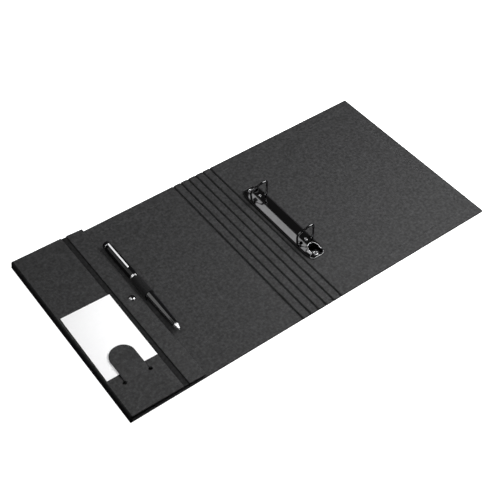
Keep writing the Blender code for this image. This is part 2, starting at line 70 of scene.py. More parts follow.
LINER_SINK = 0.0001  # how far a liner reaches down into its board
FORE_EDGE_X = JOINTS["fore_edge_fold"]["pos_m"][0]
COVER_FORE_GAP = 0.0031  # front cover's board to the lower fold
TURN_IN = 0.0135

LOWER_FOLD = math.radians(100)
UPPER_FOLD = math.radians(81.35)
TAB_SET = math.radians(2.4)
FLAP_SHELL = 0.0015
FLAP_THICK = 0.00185
FLAP_WIDTH = 0.0577
CHANNEL = 0.0062
TAB_WIDTH = 0.0187
FORE_EDGE_DEPTH = 0.0094
FOLD_GAP = 0.0016  # board edge to fold line, in the fore-edge strip and the flap
FOLD_LIFT = PAPER / 2 + 0.00003  # middle of the fold's paper above the panel's outer face
TONGUE_MIDDLE = -0.0295
TONGUE_HALF = 0.0141
TONGUE_ROOT_Y = -0.0803
TONGUE_TIP_Y = -0.0399
TONGUE_ROOT_GAP = 0.00045  # lets the root turn without meeting the flap
SLIT = 0.0008
SLIT_HOLE_R = 0.0022
CARD_TURN = math.radians(-0.8)

SEAT = COVER_TOP + 0.0001  # underside of what is fixed to a cover's inner face
RINGS_X = (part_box("ring_housing")[0].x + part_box("ring_housing")[1].x) / 2
RING_Y = 0.040
RIVET_Y = 0.057
HOUSING_LENGTH = 0.124
HOUSING_HALF = 0.011
HOUSING_END_HALF = 0.0046
NOTCH_R = 0.0061  # round opening in each end of the arch
NOTCH_Y = 0.0527
NOTCH_FLARE = ((0.0061, 0.0572), (0.0125, 0.0592))
TAPER_Y = 0.048  # where the housing starts to narrow
DROP_Y = 0.046  # where its crown starts to drop
HOUSING_RISE = 0.0074
HOUSING_END_RISE = 0.0058
HOUSING_SHEET = 0.0008
HOUSING_LIP = 0.0013
RIM_R = 0.00034  # bead round each end opening
RING_WIRE_R = 0.0012
RING_TOP = 0.0276  # wire centre above the table
CARRIER_REST = math.radians(6)

PEN_X = -0.1314
PEN_TIP_Y = -0.0592
PEN_AXIS_Z = SEAT + 0.0055
LOOP_BORE_R = 0.0049
LOOP_R = 0.0055
LOOP_HALF = 0.013
LOOP_MIDDLE_Y = 0.0085
CLIP_ROLL = math.radians(22)
SNAP_REACH = 0.0141  # from the tab's fold line
SNAP_Y = 0.003
ENDS = ((-1, "near"), (1, "far"))  # sides along the spine

CAMERA_AT = (-0.4243, -0.5724, 0.7763)
CAMERA_PITCH = math.radians(48.053)
CAMERA_YAW = math.radians(36.304)
CAMERA_ROLL = math.radians(-0.217)
CAMERA_LENS = 71.83
WORLD_LEVEL = 0.035


# --- node materials ------------------------------------------------------------------------------------
class Nodes:
    """Shorthand for building a material's node tree."""

    def __init__(self, name, **sockets):
        self.material = bpy.data.materials.new(name)
        self.material.use_nodes = True
        self.tree = self.material.node_tree
        self.shader = self.tree.nodes["Principled BSDF"]
        for socket, value in sockets.items():
            self.shader.inputs[socket.replace("_", " ")].default_value = value
        self.place = self.add("ShaderNodeTexCoord").outputs["Object"]

    def add(self, kind, inputs=(), **settings):
        node = self.tree.nodes.new(kind)
        for key, value in settings.items():
            setattr(node, key, value)
        for socket, value in dict(inputs).items():
            self.feed(node.inputs[socket], value)
        return node

    def feed(self, socket, value):
        if isinstance(value, bpy.types.NodeSocket):
            self.tree.links.new(value, socket)
        else:
            socket.default_value = value

    def stretched(self, scale):
        return self.add("ShaderNodeMapping", {"Vector": self.place, "Scale": scale}).outputs["Vector"]

    def noise(self, scale, detail=2.0, roughness=0.5, vector=None):
        inputs = {"Vector": vector or self.place, "Scale": scale}
        inputs |= {"Detail": detail, "Roughness": roughness}
        return self.add("ShaderNodeTexNoise", inputs).outputs["Fac"]

    def remap(self, value, low, high, to_low, to_high):
        inputs = {"Value": value, "From Min": low, "From Max": high}
        inputs |= {"To Min": to_low, "To Max": to_high}
        return self.add("ShaderNodeMapRange", inputs).outputs["Result"]

    def maths(self, operation, a, b):
        node = self.add("ShaderNodeMath", operation=operation)
        self.feed(node.inputs[0], a)
        self.feed(node.inputs[1], b)
        return node.outputs[0]

    def shade(self, colour, factor):
        """colour made lighter or darker by factor."""
        mix = self.add("ShaderNodeVectorMath", operation="SCALE")
        mix.inputs[0].default_value = colour
        self.feed(mix.inputs["Scale"], factor)
        return mix.outputs[0]

    def bump(self, height, distance, strength):
        inputs = {"Height": height, "Distance": distance, "Strength": strength}
        return self.add("ShaderNodeBump", inputs).outputs["Normal"]

    def use(self, **sockets):
        for socket, value in sockets.items():
            self.feed(self.shader.inputs[socket.replace("_", " ")], value)
        return self.material


def covering_paper(name, colour, lift=1.0, gloss=0.30, sheen=0.05):
    """Matt dyed covering paper: felt-like mottle, short crossed fibres and a fine grain."""
    n = Nodes(name, Roughness=0.7, Specular_IOR_Level=gloss)
    n.shader.inputs["Sheen Weight"].default_value = sheen
    n.shader.inputs["Sheen Roughness"].default_value = 0.5
    cloud = n.noise(70, 3)
    felt = n.noise(320, 2, 0.6)
    fibre_a = n.noise(900, 2, 0.6, n.stretched((1.0, 0.25, 1.0)))
    fibre_b = n.noise(900, 2, 0.6, n.stretched((0.25, 1.0, 1.0)))
    grain = n.noise(4200, 1)
    fibres = n.maths("ADD", fibre_a, fibre_b)
    patches = n.remap(felt, 0.3, 0.7, 0.52, 1.48)
    streaks = n.remap(fibres, 0.7, 1.3, 0.64, 1.36)
    slow = n.remap(cloud, 0.3, 0.7, 0.94 * lift, 1.06 * lift)
    mottle = n.maths("MULTIPLY", slow, n.maths("MULTIPLY", patches, streaks))
    height = n.maths("ADD", n.maths("ADD", fibres, felt), n.maths("MULTIPLY", grain, 0.25))
    return n.use(
        Base_Color=n.shade(colour, mottle),
        Roughness=n.remap(fibres, 0.7, 1.3, 0.62, 0.78),
        Normal=n.bump(height, 0.00012, 0.7),
    )


def card_stock(name):
    """Smooth white card with the faintest tooth."""
    n = Nodes(name, Roughness=0.5, Specular_IOR_Level=0.35)
    tooth = n.noise(3200, 3, 0.6)
    factor = n.remap(n.noise(220, 2), 0.3, 0.7, 0.985, 1.0)
    colour = n.shade((0.88, 0.88, 0.885), factor)
    return n.use(Base_Color=colour, Normal=n.bump(tooth, 0.00002, 0.5))


def plated_metal(name, colour, roughness, smudge=0.05):
    """Plated metal: a slow ripple of the sheet and faint handling marks in the gloss."""
    n = Nodes(name, Metallic=1.0, Specular_IOR_Level=0.6)
    ripple = n.noise(160, 2)
    marks = n.noise(900, 4, 0.65)
    return n.use(
        Base_Color=n.shade(colour, n.remap(ripple, 0.3, 0.7, 0.94, 1.06)),
        Roughness=n.remap(marks, 0.35, 0.7, roughness, roughness + smudge),
        Normal=n.bump(ripple, 0.00004, 0.15),
    )


def turned_chrome(name):
    """Polished chrome with fine lathe lines round the pen's axis."""
    n = Nodes(name, Metallic=1.0, Roughness=0.1)
    lines = n.noise(900, 2, 0.5, n.stretched((0.05, 8.0, 0.05)))
    return n.use(
        Base_Color=n.shade((0.62, 0.62, 0.63), n.remap(lines, 0.3, 0.7, 0.95, 1.03)),
        Roughness=n.remap(lines, 0.3, 0.7, 0.12, 0.22),
        Normal=n.bump(lines, 0.00001, 0.3),
    )


def lacquer(name, gloss):
    """Deep black gloss lacquer."""
    n = Nodes(name, Roughness=0.06, Specular_IOR_Level=gloss)
    dust = n.noise(2400, 3, 0.6)
    return n.use(
        Base_Color=n.shade((0.0035, 0.0035, 0.0038), n.remap(dust, 0.3, 0.7, 0.8, 1.3)),
        Roughness=n.remap(dust, 0.35, 0.75, 0.05, 0.11),
        Normal=n.bump(n.noise(700, 1), 0.00001, 0.3),
    )


def woven_elastic(name):
    """Ribbed elastic: ribs along the pen, crossed by fine threads."""
    n = Nodes(name, Roughness=0.92, Specular_IOR_Level=0.15)
    n.shader.inputs["Sheen Weight"].default_value = 0.04
    n.shader.inputs["Sheen Roughness"].default_value = 0.6
    ribs = n.add(
        "ShaderNodeTexWave",
        {"Vector": n.place, "Scale": 300.0, "Distortion": 0.6, "Detail": 1.0, "Detail Scale": 4.0},
        wave_type="BANDS",
        bands_direction="Y",
    ).outputs["Fac"]
    threads = n.noise(2600, 2, 0.6, n.stretched((1.0, 0.4, 1.0)))
    height = n.maths("ADD", ribs, n.maths("MULTIPLY", threads, 0.6))
    rib_tone, thread_tone = n.remap(ribs, 0.0, 1.0, 0.65, 1.25), n.remap(threads, 0.3, 0.7, 0.8, 1.2)
    colour = n.shade((0.0055, 0.0055, 0.006), n.maths("MULTIPLY", rib_tone, thread_tone))
    return n.use(Base_Color=colour, Normal=n.bump(height, 0.00018, 0.8))


PAPER_COLOUR = (0.0205, 0.0205, 0.0211)
PAPER_OUT = covering_paper("covering_paper", PAPER_COLOUR)
PAPER_IN = covering_paper("lining_paper", PAPER_COLOUR, lift=1.03)
# painted shade: a darker, duller copy of the covering paper for the recessed channel between flap and tab
CHANNEL_PAINTED_SHADE = covering_paper("channel_paper", (0.009, 0.009, 0.0093), gloss=0.12, sheen=0.01)
# painted shade: a near-black, dull copy of the covering paper for the fore-edge wall and its two folds, the
# side turned from the lights
FORE_EDGE_PAINTED_SHADE = covering_paper("fore_edge_paper", (0.0085, 0.0085, 0.0088), gloss=0.06, sheen=0.0)
# painted shade: a darker copy of the covering paper for the linings pressed into the spine's grooves
GROOVE_PAINTED_SHADE = covering_paper("groove_paper", (0.0105, 0.0105, 0.0108), gloss=0.12, sheen=0.01)
# painted shade: dark plating for the far opening's rim, to hold down its highlight
FAR_RIM_PAINTED_SHADE = plated_metal("dull_plating", (0.06, 0.06, 0.061), 0.5)
CARD = card_stock("white_card_stock")
BLACK_METAL = plated_metal("black_plating", (0.145, 0.145, 0.148), 0.09)
# light plating: on the near opening's rim it is a painted highlight; the crown eyelets use it as their own
# plating
EYELET_PLATING_AND_RIM_HIGHLIGHT = plated_metal("worn_plating", (0.46, 0.46, 0.47), 0.34, 0.08)
RING_METAL = plated_metal("ring_plating", (0.10, 0.10, 0.102), 0.12, 0.04)
STEEL = plated_metal("bright_steel", (0.50, 0.50, 0.51), 0.24, 0.12)
NICKEL = plated_metal("nickel_rivet", (0.60, 0.60, 0.61), 0.28, 0.08)
CHROME = turned_chrome("turned_chrome")
LACQUER = lacquer("black_lacquer", 0.16)
BARREL = lacquer("barrel_lacquer", 0.75)
SATIN = plated_metal("satin_tip", (0.68, 0.68, 0.69), 0.36, 0.06)
STUD_BLACK = plated_metal("black_stud", (0.30, 0.30, 0.305), 0.07, 0.04)
ELASTIC = woven_elastic("ribbed_elastic")


# --- building and placing pieces ------------------------------------------------------------------------
def smooth_by_angle(mesh, degrees=35):
    mesh.polygons.foreach_set("use_smooth", [True] * len(mesh.polygons))
    mesh.set_sharp_from_angle(angle=math.radians(degrees))


def baked(obj):
    """obj with its modifiers applied."""
    graph = bpy.context.evaluated_depsgraph_get()
    mesh = bpy.data.meshes.new_from_object(obj.evaluated_get(graph))
    obj.modifiers.clear()
    obj.data = mesh
    return obj


def new_object(name, mesh, material):
    obj = bpy.data.objects.new(name, mesh)
    bpy.context.scene.collection.objects.link(obj)
    mesh.materials.clear()
    mesh.materials.append(material)
    return obj


def settle(obj, place=None):
    """Bakes obj's modifiers and place into its mesh."""
    if obj.modifiers:
        baked(obj)
    if place is not None:
        obj.data.transform(place)
    smooth_by_angle(obj.data)
    return obj


def join(obj, body, slot, *nodes):
    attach(obj, body)
    if nodes:
        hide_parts(*nodes)
    return obj


def mesh_from(build, outward=True):
    """The mesh that build(bmesh) makes; a closed one has its faces turned outward."""
    made = bmesh.new()
    build(made)
    if outward:
        bmesh.ops.recalc_face_normals(made, faces=made.faces)
    mesh = bpy.data.meshes.new("mesh")
    made.to_mesh(mesh)
    made.free()
    return mesh


def rounded(obj, width, segments=3, angle=30):
    bevel = obj.modifiers.new("rounded", "BEVEL")
    bevel.width = width
    bevel.segments = segments
    bevel.limit_method = "ANGLE"
    bevel.angle_limit = math.radians(angle)
    bevel.harden_normals = False
    weighted = obj.modifiers.new("flat_faces", "WEIGHTED_NORMAL")
    weighted.keep_sharp = True
    return obj


def block(name, low, high, material, edge, segments=3):
    """A box between two corners with rounded edges."""
    size = [h - l for l, h in zip(low, high)]
    middle = Vector([(l + h) / 2 for l, h in zip(low, high)])
    scale = Matrix.Diagonal((*size, 1))
    mesh = mesh_from(lambda made: bmesh.ops.create_cube(made, size=1, matrix=scale))
    mesh.transform(Matrix.Translation(middle))
    return rounded(new_object(name, mesh, material), edge, segments)


def stations(low, high, marks, count=24, spread=0.002):
    """Evenly spread values from low to high with extra ones up to spread each side of each mark."""
    values = [low + (high - low) * i / count for i in range(count + 1)]
    for mark in marks:
        values += [mark + spread * i / 4 for i in range(-4, 5)]
    return sorted({round(v, 7) for v in values if low <= v <= high})


def smoothstep(value, start, end):
    share = min(1.0, max(0.0, (value - start) / (end - start)))
    return share * share * (3 - 2 * share)


def fill_grid(made, rows):
    """Faces between neighbouring rows of vertices."""
    for a, b in zip(rows, rows[1:]):
        for i in range(len(a) - 1):
            made.faces.new((a[i], a[i + 1], b[i + 1], b[i]))


def sheet(name, low, high, base, top, material, marks=((), ())):
    """A sheet over a rectangle: its upper face follows top(x, y), its lower face is level at base."""
    xs = stations(low[0], high[0], marks[0])
    ys = stations(low[1], high[1], marks[1])

    def build(made):
        fill_grid(made, [[made.verts.new((x, y, top(x, y))) for x in xs] for y in ys])
        edges = [e for e in made.edges if e.is_boundary]
        skirt = bmesh.ops.extrude_edge_only(made, edges=edges)["geom"]
        for vert in skirt:
            if isinstance(vert, bmesh.types.BMVert):
                vert.co.z = base
        rim = [e for e in made.edges if e.is_boundary]
        bmesh.ops.contextual_create(made, geom=rim)

    return new_object(name, mesh_from(build), material)


def lofted(sections, joined=False):
    """Skin through like closed rings of points, capped at both ends or joined round to the first."""

    def build(made):
        rings = [[made.verts.new(point) for point in section] for section in sections]
        for a, b in zip(rings, rings[1:] + rings[:1] if joined else rings[1:]):
            for i in range(len(a)):
                j = (i + 1) % len(a)
                made.faces.new((a[i], a[j], b[j], b[i]))
        if not joined:
            made.faces.new(rings[0])
            made.faces.new(rings[-1])

    return mesh_from(build)


def strip_mesh(profile, half_length, steps=24):
    """A solid strip along Y with a closed (x, z) cross-section."""
    ys = [2 * half_length * i / steps - half_length for i in range(steps + 1)]
    return lofted([[(x, y, z) for x, z in profile] for y in ys])


def thick_line(centre, thickness):
    """A closed cross-section of even thickness along a line of (x, z) points."""
    left, right = [], []
    for i, point in enumerate(centre):
        before = Vector(centre[max(0, i - 1)])
        after = Vector(centre[min(len(centre) - 1, i + 1)])
        along = (after - before).normalized()
        side = Vector((-along.y, along.x)) * thickness / 2
        left.append(tuple(Vector(point) + side))
        right.append(tuple(Vector(point) - side))
    return left + right[::-1]


# --- the case: covers and spine -----------------------------------------------------------------------
def wrapped_board(name, low_x, high_x, thickness, edge, material=PAPER_OUT):
    """Board wrapped in paper, as high as the case; edge is the radius of its edges."""
    low, high = (low_x, -HALF_HEIGHT, 0), (high_x, HALF_HEIGHT, thickness)
    return block(name, low, high, material, edge)


def add_panel(name, wrap_x, liner_x, edge, top, marks_x=()):
    """One panel of the case: its wrapped board, and its liner, whose face follows top(x, y)."""
    wrap = wrapped_board(f"{name}_wrap", *wrap_x, COVER_SHELL, edge)
    join(settle(wrap), name, "black_paper", f"{name}_paper", f"{name}_board")
    end = HALF_HEIGHT - LINER_INSET
    low, high = (liner_x[0], -end), (liner_x[1], end)
    marks = (marks_x, (TURN_IN - HALF_HEIGHT, HALF_HEIGHT - TURN_IN))
    liner = sheet(f"{name}_lining", low, high, COVER_SHELL - LINER_SINK, top, PAPER_IN, marks)
    join(settle(liner), name, "black_paper", f"{name}_liner")


def add_cover(name, low_x, high_x, free_end):
    """One cover; the turned-in paper shows through its liner, also at high_x where that end is free."""
    step_height = 0.00022
    edge_drop = 0.00012

    def top(x, y):
        inside = HALF_HEIGHT - abs(y)
        if free_end:
            inside = min(inside, high_x - x)
        step = 1 - smoothstep(inside, TURN_IN - 0.0005, TURN_IN + 0.0007)
        edge = 1 - smoothstep(inside, LINER_INSET, LINER_INSET + 0.0004)
        return COVER_TOP - step_height * (1 - step) - edge_drop * edge

    wrap_x = (low_x + CREASE_HALF, high_x if free_end else high_x - CREASE_HALF)
    liner_x = (low_x + GROOVE_HALF, high_x - (LINER_INSET if free_end else GROOVE_HALF))
    add_panel(name, wrap_x, liner_x, 0.00045, top, [high_x - TURN_IN] if free_end else ())


def add_spine_strip(index):
    """One strip of the spine, its liner slightly crowned between the grooves."""
    high_x, low_x = CREASES[index - 1], CREASES[index]
    middle = (low_x + high_x) / 2
    half = (high_x - low_x) / 2 - GROOVE_HALF
    crown_height = 0.00005
    step_height = 0.00008

    def top(x, y):
        crown = crown_height * (1 - ((x - middle) / half) ** 2)
        step = 1 - smoothstep(HALF_HEIGHT - abs(y), TURN_IN - 0.001, TURN_IN + 0.001)
        return COVER_TOP + crown - step_height + step_height * step

    wrap_x = (low_x + CREASE_HALF, high_x - CREASE_HALF)
    add_panel(f"spine_{index}", wrap_x, (middle - half, middle + half), 0.00035, top)


def add_crease(index):
    """Paper hinge at one crease: the outer sheet, and the lining pressed down into the groove."""
    x = CREASES[index]
    reach = CREASE_HALF + 0.0004
    floor = 0.00115
    rim = COVER_TOP - 0.00011
    angles = [math.pi * i / 20 for i in range(21)]
    groove = [(x + GROOVE_HALF * math.cos(a), rim - (rim - floor) * math.sin(a) ** 0.85) for a in angles]
    flat = [(x + reach - 2 * reach * i / 12, 0.00016) for i in range(13)]
    pieces = (
        # the groove lining's darker paper is painted shade in the crease
        ("lining", GROOVE_PAINTED_SHADE, strip_mesh(thick_line(groove, 0.0002), HALF_HEIGHT - 0.0003)),
        ("cloth", PAPER_OUT, strip_mesh(thick_line(flat, 0.00022), HALF_HEIGHT - 0.0002)),
    )
    for part, material, mesh in pieces:
        obj = settle(new_object(f"crease_{index + 1}_{part}", mesh, material))
        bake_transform(obj)


def add_case():
    add_cover("back_cover", CREASES[0], BACK_HIGH.x, True)
    add_cover("front_cover", FORE_EDGE_X + COVER_FORE_GAP - CREASE_HALF, CREASES[-1], False)
    for index in range(1, 6):
        add_spine_strip(index)
    for index in range(len(CREASES)):
        add_crease(index)


# --- pocket flap -----------------------------------------------------------------------------------------
def flap_places():
    """Matrices of the flat fore-edge, flap and tab frames, in which the outer paper is at z = 0."""
    lower = Matrix.Translation(JOINTS["fore_edge_fold"]["pos_m"]) @ Matrix.Rotation(LOWER_FOLD, 4, "Y")
    upper = lower @ Matrix.Translation((-FORE_EDGE_DEPTH, 0, 0)) @ Matrix.Rotation(UPPER_FOLD, 4, "Y")
    sink = FLAP_THICK - PAPER / 2
    line = Matrix.Translation((-(FLAP_WIDTH + CHANNEL / 2), 0, sink))
    tab = upper @ line @ Matrix.Rotation(TAB_SET, 4, "Y") @ Matrix.Translation((0, 0, -sink))
    return lower, upper, tab


def tongue_opening(steps=48):
    """Outline of the flap's opening round the tongue."""
    x, y, radius = TONGUE_MIDDLE, TONGUE_TIP_Y - TONGUE_HALF, TONGUE_HALF
    angles = [math.pi * i / steps for i in range(steps + 1)]
    root = [(x - radius, TONGUE_ROOT_Y), (x + radius, TONGUE_ROOT_Y)]
    return root + [(x + radius * math.cos(a), y + radius * math.sin(a)) for a in angles]


def prism(name, outline, low_z, high_z, material):
    def build(made):
        face = made.faces.new([made.verts.new((x, y, low_z)) for x, y in outline])
        raised = bmesh.ops.extrude_face_region(made, geom=[face])["geom"]
        top = [v for v in raised if isinstance(v, bmesh.types.BMVert)]
        bmesh.ops.translate(made, verts=top, vec=(0, 0, high_z - low_z))

    return new_object(name, mesh_from(build), material)


def cylinder(name, radius, low_z, high_z, at, material, steps=48):
    shape = {"radius1": radius, "radius2": radius, "depth": high_z - low_z}
    mesh = mesh_from(lambda made: bmesh.ops.create_cone(made, cap_ends=True, segments=steps, **shape))
    mesh.transform(Matrix.Translation((at[0], at[1], (low_z + high_z) / 2)))
    return new_object(name, mesh, material)


def carve(obj, cutters, operation="DIFFERENCE"):
    """Booleans baked into obj; the cutters are used up."""
    for cutter in cutters:
        step = obj.modifiers.new("carve", "BOOLEAN")
        step.operation = operation
        step.solver = "EXACT"
        step.object = cutter
    bpy.context.view_layer.update()
    baked(obj)
    for cutter in cutters:
        bpy.data.objects.remove(cutter)
    return obj


def slit_holes(low_z):
    """Cutters for the round ends of the tongue's slits."""
    spots = [(TONGUE_MIDDLE + side * TONGUE_HALF, TONGUE_ROOT_Y) for side in (-1, 1)]
    return [cylinder("hole", SLIT_HOLE_R, low_z, 0.004, spot, PAPER_OUT) for spot in spots]


def add_fold(name, before_place, after_place, reach, line_x):
    """Paper that turns a fold line from one panel's board to the next; reach is how far on each side."""
    start = before_place @ Vector((line_x + reach[0], 0, FOLD_LIFT))
    corner = before_place @ Vector((line_x, 0, FOLD_LIFT))
    end = after_place @ Vector((-reach[1], 0, FOLD_LIFT))
    points = []
    for i in range(17):
        t = i / 16
        point = start * (1 - t) ** 2 + corner * 2 * t * (1 - t) + end * t * t
        points.append((point.x, point.z))
    # the fold paper is painted shade, as dark as the fore-edge wall
    obj = settle(new_object(name, strip_mesh(thick_line(points, PAPER), HALF_HEIGHT), FORE_EDGE_PAINTED_SHADE))
    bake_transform(obj)


def add_flap():
    lower, upper, tab = flap_places()

    low_x, high_x = FOLD_GAP - FORE_EDGE_DEPTH, -FOLD_GAP
    # the fore-edge wall's darker paper is painted shade on the side turned from the lights
    wall = wrapped_board("fore_edge_wrap", low_x, high_x, FLAP_SHELL, 0.0003, FORE_EDGE_PAINTED_SHADE)
    stood_for = ("fore_edge_paper", "fore_edge_board", "fore_edge_liner")
    join(settle(wall, lower), "fore_edge", "black_paper", *stood_for)

    flap = baked(wrapped_board("flap_wrap", -FLAP_WIDTH, -FOLD_GAP, FLAP_THICK, 0.00035))
    carve(flap, [prism("opening", tongue_opening(), -0.002, 0.004, PAPER_OUT), *slit_holes(-0.002)])
    join(settle(flap, upper), "flap", "black_paper", "flap_paper", "flap_board")

    outer = wrapped_board("tab_wrap", -(CHANNEL / 2 + TAB_WIDTH), -CHANNEL / 2, FLAP_THICK, 0.00035)
    join(settle(outer, tab), "tab", "black_paper", "tab_paper", "tab_board")

    flat = Matrix.Translation((FORE_EDGE_X, 0, 0))
    add_fold("lower_fold_paper", flat, lower, (0.0034, 0.0019), 0)
    add_fold("upper_fold_paper", lower, upper, (0.0019, 0.0019), -FORE_EDGE_DEPTH)
    add_channel(upper, tab)
    add_tongue(upper)
    add_card(upper)


def add_channel(upper, tab):
    """Unsupported paper pressed down between the flap's board and the tab's."""
    half = CHANNEL / 2
    line_x = -(FLAP_WIDTH + half)
    lap = 1.02  # how far the paper runs on to the boards
    depth = (FLAP_THICK - 0.0004) * 0.8
    steps = 24
    points = []
    for i in range(steps + 1):
        t = 2 * i / steps - 1
        sunk = 0.00035 + depth * (1 - abs(t) ** 14)
        if t > 0:
            point = tab @ Vector((-half * t * lap, 0, sunk))
        else:
            point = upper @ Vector((line_x - half * t * lap, 0, sunk))
        points.append((point.x, point.z))
    mesh = strip_mesh(thick_line(points, PAPER), HALF_HEIGHT - 0.0002)
    # its darker paper is painted shade in the recess
    obj = settle(new_object("channel_paper", mesh, CHANNEL_PAINTED_SHADE))
    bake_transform(obj)
    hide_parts("flap_liner", "tab_liner")


def add_tongue(upper):
    """The card tongue: one sheet with the flap at its root, bent up over the card."""
    lifted_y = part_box("business_card")[0].y - 0.0008
    over_card = FLAP_SHELL + 0.00055
    half_width = TONGUE_HALF - SLIT
    centre_y = TONGUE_TIP_Y - TONGUE_HALF
    root_y = TONGUE_ROOT_Y + TONGUE_ROOT_GAP
    straight = [root_y + (centre_y - root_y) * i / 24 for i in range(25)]
    rows = [(y, half_width) for y in straight]
    for i in range(1, 25):
        angle = math.pi / 2 * i / 24.5
        rows.append((centre_y + half_width * math.sin(angle), half_width * math.cos(angle)))
    across = 12

    def build(made):
        grid = []
        for y, half in rows:
            z = -over_card * smoothstep(y, TONGUE_ROOT_Y, lifted_y)
            xs = [TONGUE_MIDDLE + half * (2 * i / across - 1) for i in range(across + 1)]
            grid.append([made.verts.new((x, y, z)) for x in xs])
        fill_grid(made, grid)

    tongue = new_object("card_tongue_paper", mesh_from(build, outward=False), PAPER_OUT)
    solid = tongue.modifiers.new("thickness", "SOLIDIFY")
    solid.thickness = FLAP_SHELL - 0.0001
    solid.offset = 1
    baked(tongue)
    carve(tongue, slit_holes(-0.003))
    rounded(tongue, 0.0002, 2)
    join(settle(tongue, upper), "tongue", "black_paper", "card_tongue")
    add_tongue_root(upper)


def add_tongue_root(upper):
    """Thin skin of paper that carries on from the flap to the tongue over the root's gap."""
    half = TONGUE_HALF - SLIT_HOLE_R - 0.0001
    low = (TONGUE_MIDDLE - half, TONGUE_ROOT_Y - 0.0010)
    high = (TONGUE_MIDDLE + half, TONGUE_ROOT_Y + 0.0018)
    skin = settle(sheet("tongue_root_paper", low, high, 0.00012, lambda x, y: -0.00004, PAPER_OUT), upper)
    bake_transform(skin)


def add_card(upper):
    low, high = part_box("business_card")
    corner = Vector(((high.x - low.x) / 2, (high.y - low.y) / 2, 0.000175))
    card = block("blank_card", -corner, corner, CARD, 0.00008, 2)
    flat = upper.inverted() @ ((low + high) / 2)
    place = upper @ Matrix.Translation((flat.x, flat.y, -0.00028)) @ Matrix.Rotation(-CARD_TURN, 4, "Z")
    join(settle(card, place), "card", "white_card", "business_card")


# --- turned and bent pieces -------------------------------------------------------------------------------
def circle(steps):
    """Evenly spread angles of a full turn."""
    return [2 * math.pi * k / steps for k in range(steps)]


def arc(centre, size, steps, sweep=math.pi):
    """Points of an ellipse's arc from angle 0 to sweep."""
    angles = [sweep * i / steps for i in range(steps + 1)]
    return [(centre[0] + size[0] * math.cos(a), centre[1] + size[1] * math.sin(a)) for a in angles]


def turned(name, outline, material, steps=64):
    """A solid turned about Z from a closed (radius, height) outline, which may touch the axis."""

    def build(made):
        rings = []
        for radius, z in outline:
            angles = circle(steps) if radius else [0.0]
            rings.append([made.verts.new((radius * math.cos(a), radius * math.sin(a), z)) for a in angles])
        for a, b in zip(rings, rings[1:] + rings[:1]):
            if len(a) == len(b) == 1:
                continue
            for k in range(steps):
                j = (k + 1) % steps
                corners = [a[k % len(a)], b[k % len(b)], b[j % len(b)], a[j % len(a)]]
                made.faces.new(list(dict.fromkeys(corners)))

    return new_object(name, mesh_from(build), material)


def rounded_path(corners, steps=10):
    """Points along straight runs whose corners, given as (across, up, radius), are rounded."""
    points = [Vector(corners[0][:2])]
    for before, corner, after in zip(corners, corners[1:], corners[2:]):
        here = Vector(corner[:2])
        if not corner[2]:
            points.append(here)
            continue
        back = (Vector(before[:2]) - here).normalized()
        on = (Vector(after[:2]) - here).normalized()
        half_angle = back.angle(on) / 2
        reach = corner[2] / math.tan(half_angle)
        centre = here + (back + on).normalized() * corner[2] / math.sin(half_angle)
        start = here + back * reach - centre
        end = here + on * reach - centre
        sweep = start.angle_signed(end)
        for step in range(steps + 1):
            points.append(centre + Matrix.Rotation(-sweep * step / steps, 2) @ start)
    points.append(Vector(corners[-1][:2]))
    return [tuple(point) for point in points]


def tube(name, path, radius, material, sides=24):
    """Round wire along (x, z) points at y = 0, with a small chamfer at each end."""
    chamfer = 0.00025
    spots = [Vector((x, 0, z)) for x, z in path]
    first = (spots[1] - spots[0]).normalized()
    last = (spots[-1] - spots[-2]).normalized()
    stops = [(spots[0], first, radius - chamfer), (spots[0] + first * chamfer, first, radius)]
    for before, spot, after in zip(spots, spots[1:], spots[2:]):
        stops.append((spot, (after - before).normalized(), radius))
    stops += [(spots[-1] - last * chamfer, last, radius), (spots[-1], last, radius - chamfer)]
    across = Vector((0, 1, 0))
    sections = []
    for spot, along, size in stops:
        up = along.cross(across)
        sections.append([spot + across * size * math.cos(a) + up * size * math.sin(a) for a in circle(sides)])
    return new_object(name, lofted(sections), material)


# --- ring mechanism ----------------------------------------------------------------------------------------
def housing_half_width(along):
    past = max(0.0, abs(along) - TAPER_Y) / (HOUSING_LENGTH / 2 - TAPER_Y)
    return HOUSING_END_HALF + (HOUSING_HALF - HOUSING_END_HALF) * math.sqrt(max(0.0, 1 - past * past))


def housing_rise(along):
    past = max(0.0, abs(along) - DROP_Y) / (HOUSING_LENGTH / 2 - DROP_Y)
    return HOUSING_END_RISE + (HOUSING_RISE - HOUSING_END_RISE) * math.cos(past * math.pi / 2)


def housing_section(y):
    """The arched sheet with its two inturned lips, cut across at y."""
    half, rise = housing_half_width(y), housing_rise(y)
    lip, thick = half - HOUSING_LIP, HOUSING_SHEET
    outer = [(lip, 0.0), *arc((0, 0), (half, rise), 56), (-lip, 0.0)]
    inner = [(lip, thick)]
    for i in range(57):
        across, up = math.cos(math.pi * i / 56), math.sin(math.pi * i / 56)
        inner.append(((half - thick) * across, max(thick * (1 + 0.01 * up), (rise - thick) * up)))
    inner.append((-lip, thick))
    return [(x, y, z) for x, z in outer + inner[::-1]]


